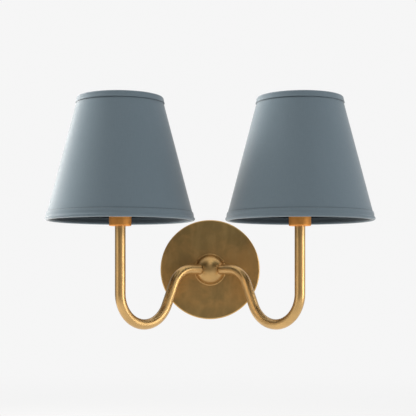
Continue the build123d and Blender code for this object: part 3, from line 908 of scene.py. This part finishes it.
class AddBands(bpy.types.Operator):
    """Folds the cloth bands over the upper and lower edges of the shades"""

    bl_idname = "sconce.add_bands"
    bl_label = "Bands"

    def execute(self, context):
        cut = context.scene.sconce_cloth
        group = folded_band_tree()
        for place in ("top", "bottom"):
            cloth = self.band_cloth(cut, place)
            for side in sides:
                self.fold(group, cut, side, place, cloth)
        return {"FINISHED"}

    def leg_of(self, cut, place):
        """Width of a band's outer leg, from the fold at its free edge to its bead."""
        low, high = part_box(f"left_shade_{place}_trim")
        return high.z - low.z - cut.band_thickness - cut.bead_radius - cut.hem_radius

    def band_cloth(self, cut, place):
        """The cloth of one pair of bands, with painted shade under its hem and on its turned-in leg
        inside the shade.
        """
        crease = cut.hem_width + cut.hem_radius * pi / 2
        bead = (cut.bead_radius - cut.band_thickness) * pi
        inside = crease + cut.hem_radius * pi / 2 + self.leg_of(cut, place) + bead

        def folds(finish, along, height):
            # Painted shade: a dark line under the hem's fold, and a darkened turned-in leg inside the
            # shade
            under = finish.near(along, crease - 0.0006, 0.0005, 0.0004) * 0.5
            inner_leg_painted_shade = finish.rise(along, inside - 0.0025, inside) * 0.85
            return under.math("MAXIMUM", inner_leg_painted_shade)

        return woven(f"Cloth of the {place} bands", folds)

    def fold(self, group, cut, side, place, cloth):
        """Folds one band over its shade's edge."""
        # The end is 1 above and -1 below, and the lower band settles past its hem.
        end, settle = (1.0, 0.0) if place == "top" else (-1.0, cut.settle)
        node = f"{side}_shade_{place}_trim"
        low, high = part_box(node)
        cone_low, cone_high, low_radius, high_radius = cone_of(f"{side}_shade_cover", side)
        slope = (low_radius - high_radius) / (cone_high - cone_low)
        edge, free = (high.z, low.z) if end > 0 else (low.z, high.z)
        cone_at_free = low_radius - slope * (free - cone_low)
        bead_line = cut.bead_radius - cut.band_thickness
        bead_outer = (high_radius if end > 0 else low_radius) + cut.bead_bulge - cut.band_thickness
        width = high.z - low.z - 2 * cut.band_thickness
        free_radius = cone_at_free + cut.glue + cut.band_thickness + 2 * cut.hem_radius
        leg = self.leg_of(cut, place)
        values = {
            "Centre": shade_axis(side),
            "Edge": edge - end * cut.band_thickness,
            "End": end,
            "Width": width,
            "Free Radius": free_radius,
            "Slope": slope,
            "Settle": settle,
            "Bulge": bead_outer - (free_radius - end * slope * leg - settle),
            "Bead Radius": bead_line,
            "Hem Radius": cut.hem_radius,
            "Hem Width": cut.hem_width,
            "Turn In": cut.turn_in,
            "Tuck": cut.tuck,
            "Thickness": cut.band_thickness,
            "Lap": cut.lap,
            "Ripple": cut.ripple * 0.5,
            "Seed": sides.index(side) + end,
            "Around": steps_around,
            "Along": steps_along,
            "Material": cloth,
        }
        band = grow(f"{node}_folded", group, values)
        cloth_width = cut.hem_width + cut.hem_radius * pi + leg + bead_line * pi + cut.turn_in
        flat = (2 * pi * free_radius + cut.lap, cloth_width)
        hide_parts(node)
        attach(band, f"{side}_shade")


class AddStage(bpy.types.Operator):
    """Adds the camera, the soft lights, the pale surroundings and the floor"""

    bl_idname = "sconce.add_stage"
    bl_label = "Studio"

    def execute(self, context):
        scene = context.scene
        scene.view_settings.view_transform = "Standard"
        self.add_camera(scene)
        self.add_surroundings(scene)
        self.add_floor(scene)
        self.add_card(scene)
        warm = (1.0, 0.94, 0.885)
        neutral = (1.0, 1.0, 1.0)
        # Azimuth and elevation in degrees, distance and size in metres, watts and tint
        self.add_light(scene, "Key", -110.0, 8.0, 1.5, (1.1, 1.5), 36.0, warm)
        self.add_light(scene, "Side", -98.0, 38.0, 1.5, (0.8, 0.8), 17.0, warm)
        self.add_light(scene, "Rim", -130.0, 6.0, 1.5, (0.6, 1.5), 32.0, warm)
        self.add_light(scene, "Fill", 78.0, 10.0, 1.6, (1.0, 1.4), 12.0, neutral)
        self.add_light(scene, "Top", -10.0, 62.0, 1.4, (1.0, 1.0), 6.0, neutral)
        return {"FINISHED"}

    def add_camera(self, scene):
        """A level camera in front of the plate, its view shifted up to the photograph's framing."""
        studio = scene.sconce_studio
        data = bpy.data.cameras.new("Camera")
        data.lens = studio.lens
        data.sensor_width = 36.0
        data.shift_x = -0.00505
        data.shift_y = 0.1745
        camera = bpy.data.objects.new("Camera", data)
        camera.location = (0.0, middle("left_shade_cover").y - studio.distance, studio.height)
        camera.rotation_euler = (radians(90), 0.0, 0.0)
        scene.collection.objects.link(camera)
        scene.camera = camera

    def add_light(self, scene, name, azimuth, elevation, distance, size, watts, tint):
        """A soft light aimed at the sconce. Azimuth 0 is the camera's side and 90 the right."""
        data = bpy.data.lights.new(name, "AREA")
        data.shape = "RECTANGLE"
        data.color = tint
        data.size, data.size_y = size
        data.energy = watts
        light = bpy.data.objects.new(name, data)
        turn, climb = radians(azimuth), radians(elevation)
        away = Vector((sin(turn) * cos(climb), -cos(turn) * cos(climb), sin(climb)))
        light.location = (cad_bounds[0] + cad_bounds[1]) / 2 + away * distance
        light.rotation_mode = "QUATERNION"
        light.rotation_quaternion = (-away).to_track_quat("-Z", "Y")
        light.visible_camera = False
        light.visible_glossy = False
        scene.collection.objects.link(light)

    def seen_rays(self, tree):
        """1 for the camera's rays and for those that metal or glass sends on, 0 for the others."""
        path = tree.add("ShaderNodeLightPath", output="Is Camera Ray")
        reflected = path.output("Is Glossy Ray").math("MAXIMUM", path.output("Is Transmission Ray"))
        return path.math("MAXIMUM", reflected)

    def add_surroundings(self, scene):
        """A pale backdrop that the camera and reflections see, and a soft light all around."""
        studio = scene.sconce_studio
        world = bpy.data.worlds.new("Surroundings")
        world.use_nodes = True
        world.node_tree.nodes.clear()
        scene.world = world
        tree = Tree(world.node_tree)
        backdrop = tree.add("ShaderNodeBackground", None, (white, studio.backdrop))
        light = tree.add("ShaderNodeBackground", None, (white, studio.ambient))
        mixed = tree.add("ShaderNodeMixShader", None, (self.seen_rays(tree), light, backdrop))
        tree.add("ShaderNodeOutputWorld", None, (mixed,))

    def add_card(self, scene):
        """A ring of grey card around the sconce that only reflections see."""
        radius = 1.9
        half_height = 1.6
        steps = 96
        points = []
        for step in range(steps):
            turn = 2 * pi * step / steps
            for height in (-half_height, half_height):
                points.append((sin(turn) * radius, -cos(turn) * radius, height))
        count = len(points)
        faces = [(n, (n + 2) % count, (n + 3) % count, n + 1) for n in range(0, count, 2)]
        mesh = bpy.data.meshes.new("Card")
        mesh.from_pydata(points, [], faces)
        mesh.materials.append(self.card_finish())
        card = bpy.data.objects.new("Card", mesh)
        card.visible_camera = False
        card.visible_diffuse = False
        card.visible_shadow = False
        card.visible_transmission = False
        scene.collection.objects.link(card)

    def card_finish(self):
        """The grey of the ring of card, with its dim place and the panels on it."""
        finish = Finish("Studio card")
        x, y, height = finish.split(finish.place())
        azimuth = x.math("ARCTAN2", y * -1.0) * (180 / pi)
        level = finish.near(height, -0.05, 0.15, 0.30)
        # The dim place where the camera stands
        grey = finish.near(azimuth, -16.0, 17.0, 14.0) * level * -0.26 + 0.44
        # Middle, half width and soft edge of each panel in degrees, and the brightness it adds
        for middle_angle, half, soft, added in (
            (-62.0, 9.0, 10.0, 0.60),
            (-130.0, 24.0, 20.0, -0.15),
            (68.0, 9.0, 8.0, 3.60),
            (128.0, 24.0, 20.0, 0.24),
        ):
            grey = finish.near(azimuth, middle_angle, half, soft) * added + grey
        # A warm panel above the left of the camera and a paler one above its right
        raised = finish.near(height, 0.95, 0.3, 0.3)
        warm = finish.near(azimuth, -42.0, 14.0, 10.0) * raised * 1.7
        pale = finish.near(azimuth, 40.0, 8.0, 10.0) * raised * 1.0
        grey = grey + pale
        tone = finish.join(grey + warm, grey + warm * 0.72, grey + warm * 0.42)
        glow = finish.add("ShaderNodeEmission", None, (tone, 1.0))
        finish.add("ShaderNodeOutputMaterial", None, {"Surface": glow})
        return finish.material

    def add_floor(self, scene):
        """A round pale floor that fades into the backdrop and keeps the sconce's shadow."""
        studio = scene.sconce_studio
        radius = 3.0
        steps = 96
        turns = [2 * pi * step / steps for step in range(steps)]
        rim = [(cos(turn) * radius, sin(turn) * radius, -studio.floor) for turn in turns]
        mesh = bpy.data.meshes.new("Floor")
        mesh.from_pydata(rim, [], [range(steps)])
        finish = Finish("Pale floor")
        x, y, _ = finish.split(finish.place())
        reach = (x * x + y * y).math("SQRT")
        glow = finish.add("ShaderNodeEmission", None, (white, studio.backdrop))
        matt = finish.add("ShaderNodeBsdfDiffuse", None, (rgba((0.85, 0.85, 0.85)),))
        lit = finish.add("ShaderNodeMixShader", None, (self.seen_rays(finish) * 0.88, matt, glow))
        clear = finish.add("ShaderNodeBsdfTransparent")
        # The floor's underside is clear, so that the sconce can be looked at from below.
        underside = finish.add("ShaderNodeNewGeometry", output="Backfacing")
        fade = finish.rise(reach, radius * 0.25, radius * 0.9).math("MAXIMUM", underside)
        faded = finish.add("ShaderNodeMixShader", None, (fade, lit, clear))
        finish.add("ShaderNodeOutputMaterial", None, {"Surface": faded})
        mesh.materials.append(finish.material)
        floor = bpy.data.objects.new("Floor", mesh)
        scene.collection.objects.link(floor)


# ---------------------------------------------------------------- panel and registration

makers = (
    DressBrass,
    DressFixings,
    DressLampholders,
    DressWires,
    AddThreads,
    AddCovers,
    AddBands,
    AddStage,
)

settings_of = {
    "sconce_brass": BrassSettings,
    "sconce_cloth": ClothSettings,
    "sconce_threads": ThreadSettings,
    "sconce_studio": StudioSettings,
}


class SconcePanel(bpy.types.Panel):
    """Lists what makes the sconce"""

    bl_idname = "VIEW3D_PT_sconce"
    bl_label = "Sconce"
    bl_space_type = "VIEW_3D"
    bl_region_type = "UI"
    bl_category = "Sconce"

    def draw(self, context):
        for maker in makers:
            self.layout.operator(maker.bl_idname)


def register():
    for kind in (*settings_of.values(), *makers, SconcePanel):
        bpy.utils.register_class(kind)
    for name, kind in settings_of.items():
        setattr(bpy.types.Scene, name, PointerProperty(type=kind))


def unregister():
    for name in settings_of:
        delattr(bpy.types.Scene, name)
    for kind in reversed((*settings_of.values(), *makers, SconcePanel)):
        bpy.utils.unregister_class(kind)


def main():
    register()
    for maker in makers:
        group, name = maker.bl_idname.split(".")
        getattr(getattr(bpy.ops, group), name)()


if __name__ == "__main__":
    main()
